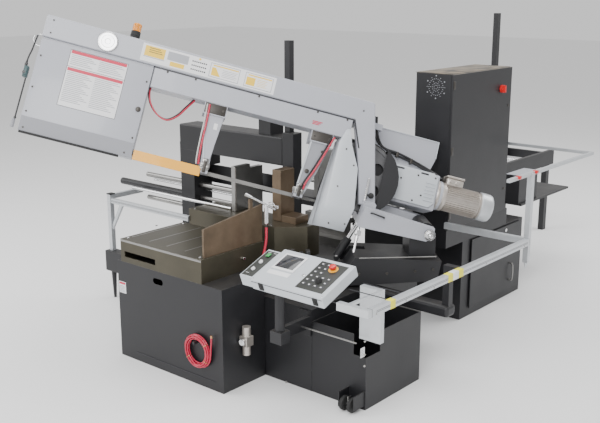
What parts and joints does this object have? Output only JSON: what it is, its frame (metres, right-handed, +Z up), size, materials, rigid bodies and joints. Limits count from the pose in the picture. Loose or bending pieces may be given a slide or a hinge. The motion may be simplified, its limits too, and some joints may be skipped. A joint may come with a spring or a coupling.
{
  "type": "horizontal mitre band saw",
  "caption": "Automatic horizontal mitre band saw: canted pivoting head on a turret, hydraulic vise, shuttle feed, coolant tank, swivel console and control cabinet.",
  "frame": {"origin": "on the floor, on the vertical axis about which the head mitres", "axes": "+Z up; +Y towards the infeed conveyor, along the direction stock lies; +X to the right of an operator facing along +Y"},
  "size_m": [3.629, 5.9954, 2.4632],
  "materials": {
    "main_base": "black textured powder coat",
    "front_cabinet": "black textured powder coat",
    "discharge_table": "oily worn machined steel",
    "table_fence": "oily worn machined steel",
    "air_unit": "cast aluminium, finned",
    "air_hose_coil": "red rubber hose",
    "air_hose_tail": "red rubber hose",
    "wash_gun": "ground and chromed",
    "wash_hose": "red rubber hose",
    "coolant_tank": "black textured powder coat",
    "console_arm": "black textured powder coat",
    "vise_bed": "oily worn machined steel",
    "bridge_arm": "black textured powder coat",
    "bridge_column": "black textured powder coat",
    "fixed_jaw": "oily worn machined steel",
    "vise_cylinder": "black textured powder coat",
    "rear_base": "black textured powder coat",
    "electrical_cabinet": "black textured powder coat",
    "conveyor_frame": "black textured powder coat",
    "rear_post": "black textured powder coat",
    "shuttle_rails": "ground and chromed",
    "barrier_side": "clear anodised extrusion",
    "barrier_front": "clear anodised extrusion",
    "rear_guard_rail": "clear anodised extrusion",
    "fence_post": "clear anodised extrusion",
    "fence_rail_front": "clear anodised extrusion",
    "gun_trigger": "ground and chromed",
    "tank_wheels": "black rubber tyre",
    "console": "light grey enamel, fine orange peel",
    "emergency_stop": "red moulded plastic",
    "start_button": "green and yellow push button",
    "selector_1": "white selector",
    "selector_2": "white selector",
    "vise_jaw": "oily worn machined steel",
    "shuttle_carriage": "black textured powder coat",
    "shuttle_jaw": "oily worn machined steel",
    "cabinet_door": "black textured powder coat",
    "main_disconnect": "red moulded plastic",
    "lower_door": "black textured powder coat",
    "roller_1": "ground and chromed",
    "roller_2": "ground and chromed",
    "turret_arm": "black textured powder coat",
    "pivot_shaft": "ground and chromed",
    "lift_cylinder": "black textured powder coat",
    "lift_rod": "ground and chromed",
    "head_frame": "light grey enamel, fine orange peel",
    "rail_cover": "light grey enamel, fine orange peel",
    "idler_housing": "light grey enamel, fine orange peel",
    "drive_housing": "black textured powder coat",
    "gearbox": "light grey enamel, fine orange peel",
    "motor": "cast aluminium, finned",
    "drive_panel": "light grey enamel, fine orange peel",
    "right_guide_arm": "light grey enamel, fine orange peel",
    "saw_blade": "bright band steel",
    "beacon": "amber dome on a black base",
    "left_guide_arm": "light grey enamel, fine orange peel",
    "idler_wheel": "machined grey iron",
    "drive_wheel": "machined grey iron",
    "idler_door": "light grey enamel, fine orange peel",
    "drive_cover": "light grey enamel, fine orange peel"
  },
  "bodies": {
    "machine_base": {"main_base": "main_base", "front_cabinet": "front_cabinet", "discharge_table": "discharge_table", "table_fence": "table_fence", "air_unit": "air_unit", "air_hose_coil": "air_hose_coil", "air_hose_tail": "air_hose_tail", "wash_gun": "wash_gun", "wash_hose": "wash_hose", "coolant_tank": "coolant_tank", "console_arm": "console_arm", "vise_bed": "vise_bed", "bridge_arm": "bridge_arm", "bridge_column": "bridge_column", "fixed_jaw": "fixed_jaw", "vise_cylinder": "vise_cylinder", "rear_base": "rear_base", "electrical_cabinet": "electrical_cabinet", "conveyor_frame": "conveyor_frame", "rear_post": "rear_post", "shuttle_rails": "shuttle_rails", "barrier_side": "barrier_side", "barrier_front": "barrier_front", "rear_guard_rail": "rear_guard_rail", "fence_post": "fence_post", "fence_rail_front": "fence_rail_front"},
    "wash_trigger": {"gun_trigger": "gun_trigger"},
    "tank_wheel_set": {"tank_wheels": "tank_wheels"},
    "console_box": {"console": "console"},
    "stop_button": {"emergency_stop": "emergency_stop"},
    "start_push": {"start_button": "start_button"},
    "selector_knob_1": {"selector_1": "selector_1"},
    "selector_knob_2": {"selector_2": "selector_2"},
    "moving_jaw": {"vise_jaw": "vise_jaw"},
    "shuttle": {"shuttle_carriage": "shuttle_carriage"},
    "shuttle_clamp": {"shuttle_jaw": "shuttle_jaw"},
    "cabinet_door_leaf": {"cabinet_door": "cabinet_door"},
    "disconnect_switch": {"main_disconnect": "main_disconnect"},
    "lower_door_leaf": {"lower_door": "lower_door"},
    "first_roller": {"roller_1": "roller_1"},
    "second_roller": {"roller_2": "roller_2"},
    "turret": {"turret_arm": "turret_arm", "pivot_shaft": "pivot_shaft"},
    "lift_barrel": {"lift_cylinder": "lift_cylinder"},
    "lift_ram": {"lift_rod": "lift_rod"},
    "saw_head": {"head_frame": "head_frame", "rail_cover": "rail_cover", "idler_housing": "idler_housing", "drive_housing": "drive_housing", "gearbox": "gearbox", "motor": "motor", "drive_panel": "drive_panel", "right_guide_arm": "right_guide_arm", "saw_blade": "saw_blade", "beacon": "beacon"},
    "left_guide": {"left_guide_arm": "left_guide_arm"},
    "idler_pulley": {"idler_wheel": "idler_wheel"},
    "drive_pulley": {"drive_wheel": "drive_wheel"},
    "idler_door_leaf": {"idler_door": "idler_door"},
    "drive_cover_leaf": {"drive_cover": "drive_cover"}
  },
  "joints": [
    {"name": "head_mitre", "type": "hinge", "parent": "machine_base", "child": "turret", "pos_m": [0, 0, 0.62], "axis": [0, 0, 1], "range_deg": [-45, 0]},
    {"name": "head_lift", "type": "hinge", "parent": "turret", "child": "saw_head", "pos_m": [0.77075, 0.77075, 0.961], "axis": [-0.7071, 0.7071, 0], "range_deg": [-15.5, 1.2]},
    {"name": "lift_barrel_pivot", "type": "hinge", "parent": "turret", "child": "lift_barrel", "pos_m": [0.28284, 0.38184, 0.725], "axis": [-0.7071, 0.7071, 0], "range_deg": [-1.6, 19.6]},
    {"name": "lift_ram_stroke", "type": "slide", "parent": "lift_barrel", "child": "lift_ram", "axis": [0.3648, 0.3648, 0.8566], "range_m": [-0.0895, 0.007]},
    {"name": "drive_wheel_spin", "type": "hinge", "parent": "saw_head", "child": "drive_pulley", "pos_m": [0.39754, 0.50973, 1.32112], "axis": [-0.7305, 0.6106, -0.3058], "continuous": true},
    {"name": "idler_wheel_spin", "type": "hinge", "parent": "saw_head", "child": "idler_pulley", "pos_m": [-0.9448, -0.83261, 1.84757], "axis": [-0.7305, 0.6106, -0.3058], "continuous": true},
    {"name": "left_guide_travel", "type": "slide", "parent": "saw_head", "child": "left_guide", "axis": [0.6814, 0.6814, -0.2672], "range_m": [0, 0.33]},
    {"name": "idler_door_hinge", "type": "hinge", "parent": "saw_head", "child": "idler_door_leaf", "pos_m": [-1.16117, -1.13384, 2.02462], "axis": [-0.0452, 0.4036, 0.9138], "range_deg": [-100, 0]},
    {"name": "drive_cover_hinge", "type": "hinge", "parent": "saw_head", "child": "drive_cover_leaf", "pos_m": [0.46955, 0.39197, 1.23442], "axis": [-0.0452, 0.4036, 0.9138], "range_deg": [0, 85]},
    {"name": "vise_jaw_travel", "type": "slide", "parent": "machine_base", "child": "moving_jaw", "axis": [1, 0, 0], "range_m": [-0.25, 0.34]},
    {"name": "shuttle_travel", "type": "slide", "parent": "machine_base", "child": "shuttle", "axis": [0, 1, 0], "range_m": [-0.1, 0.95]},
    {"name": "shuttle_clamp_travel", "type": "slide", "parent": "shuttle", "child": "shuttle_clamp", "axis": [1, 0, 0], "range_m": [-0.25, 0.38]},
    {"name": "roller_1_spin", "type": "hinge", "parent": "machine_base", "child": "first_roller", "pos_m": [-0.36, 3.25, 0.858], "axis": [1, 0, 0], "continuous": true},
    {"name": "roller_2_spin", "type": "hinge", "parent": "machine_base", "child": "second_roller", "pos_m": [-0.36, 4.05, 0.858], "axis": [1, 0, 0], "continuous": true},
    {"name": "cabinet_door_hinge", "type": "hinge", "parent": "machine_base", "child": "cabinet_door_leaf", "pos_m": [0.673, 1.267, 1.4], "axis": [0, 0, 1], "range_deg": [-44, 0]},
    {"name": "lower_door_hinge", "type": "hinge", "parent": "machine_base", "child": "lower_door_leaf", "pos_m": [0.678, 2.5, 0.36], "axis": [0, 0, 1], "range_deg": [0, 95]},
    {"name": "main_disconnect_turn", "type": "hinge", "parent": "cabinet_door_leaf", "child": "disconnect_switch", "pos_m": [0.6825, 2.02, 1.845], "axis": [1, 0, 0], "range_deg": [-90, 0]},
    {"name": "console_swivel", "type": "hinge", "parent": "machine_base", "child": "console_box", "pos_m": [0.62, -0.62, 0.84], "axis": [0, 0, 1], "range_deg": [-60, 0]},
    {"name": "emergency_stop_press", "type": "slide", "parent": "console_box", "child": "stop_button", "axis": [0, -0.3518, 0.9361], "range_m": [-0.003, 0]},
    {"name": "start_press", "type": "slide", "parent": "console_box", "child": "start_push", "axis": [0, -0.3518, 0.9361], "range_m": [-0.003, 0], "stiffness_N_per_m": 600},
    {"name": "selector_1_turn", "type": "hinge", "parent": "console_box", "child": "selector_knob_1", "pos_m": [0.53, -0.68981, 0.98625], "axis": [0, -0.3518, 0.9361], "range_deg": [-45, 45]},
    {"name": "selector_2_turn", "type": "hinge", "parent": "console_box", "child": "selector_knob_2", "pos_m": [0.53, -0.76001, 0.95986], "axis": [0, -0.3518, 0.9361], "range_deg": [-45, 45]},
    {"name": "wash_trigger_pull", "type": "hinge", "parent": "machine_base", "child": "wash_trigger", "pos_m": [0.15, -0.2, 1.215], "axis": [0, 1, 0], "range_deg": [-6, 0], "stiffness_Nm_per_rad": 0.5},
    {"name": "tank_wheel_roll", "type": "hinge", "parent": "machine_base", "child": "tank_wheel_set", "pos_m": [0.979, -0.36, 0.052], "axis": [1, 0, 0], "continuous": true}
  ],
  "couplings": [
    {"joint": "idler_wheel_spin", "follows": "drive_wheel_spin", "ratio": 1},
    {"joint": "lift_barrel_pivot", "follows": "head_lift", "ratio": -1.265},
    {"joint": "lift_ram_stroke", "follows": "head_lift", "m_per_rad": 0.329}
  ]
}
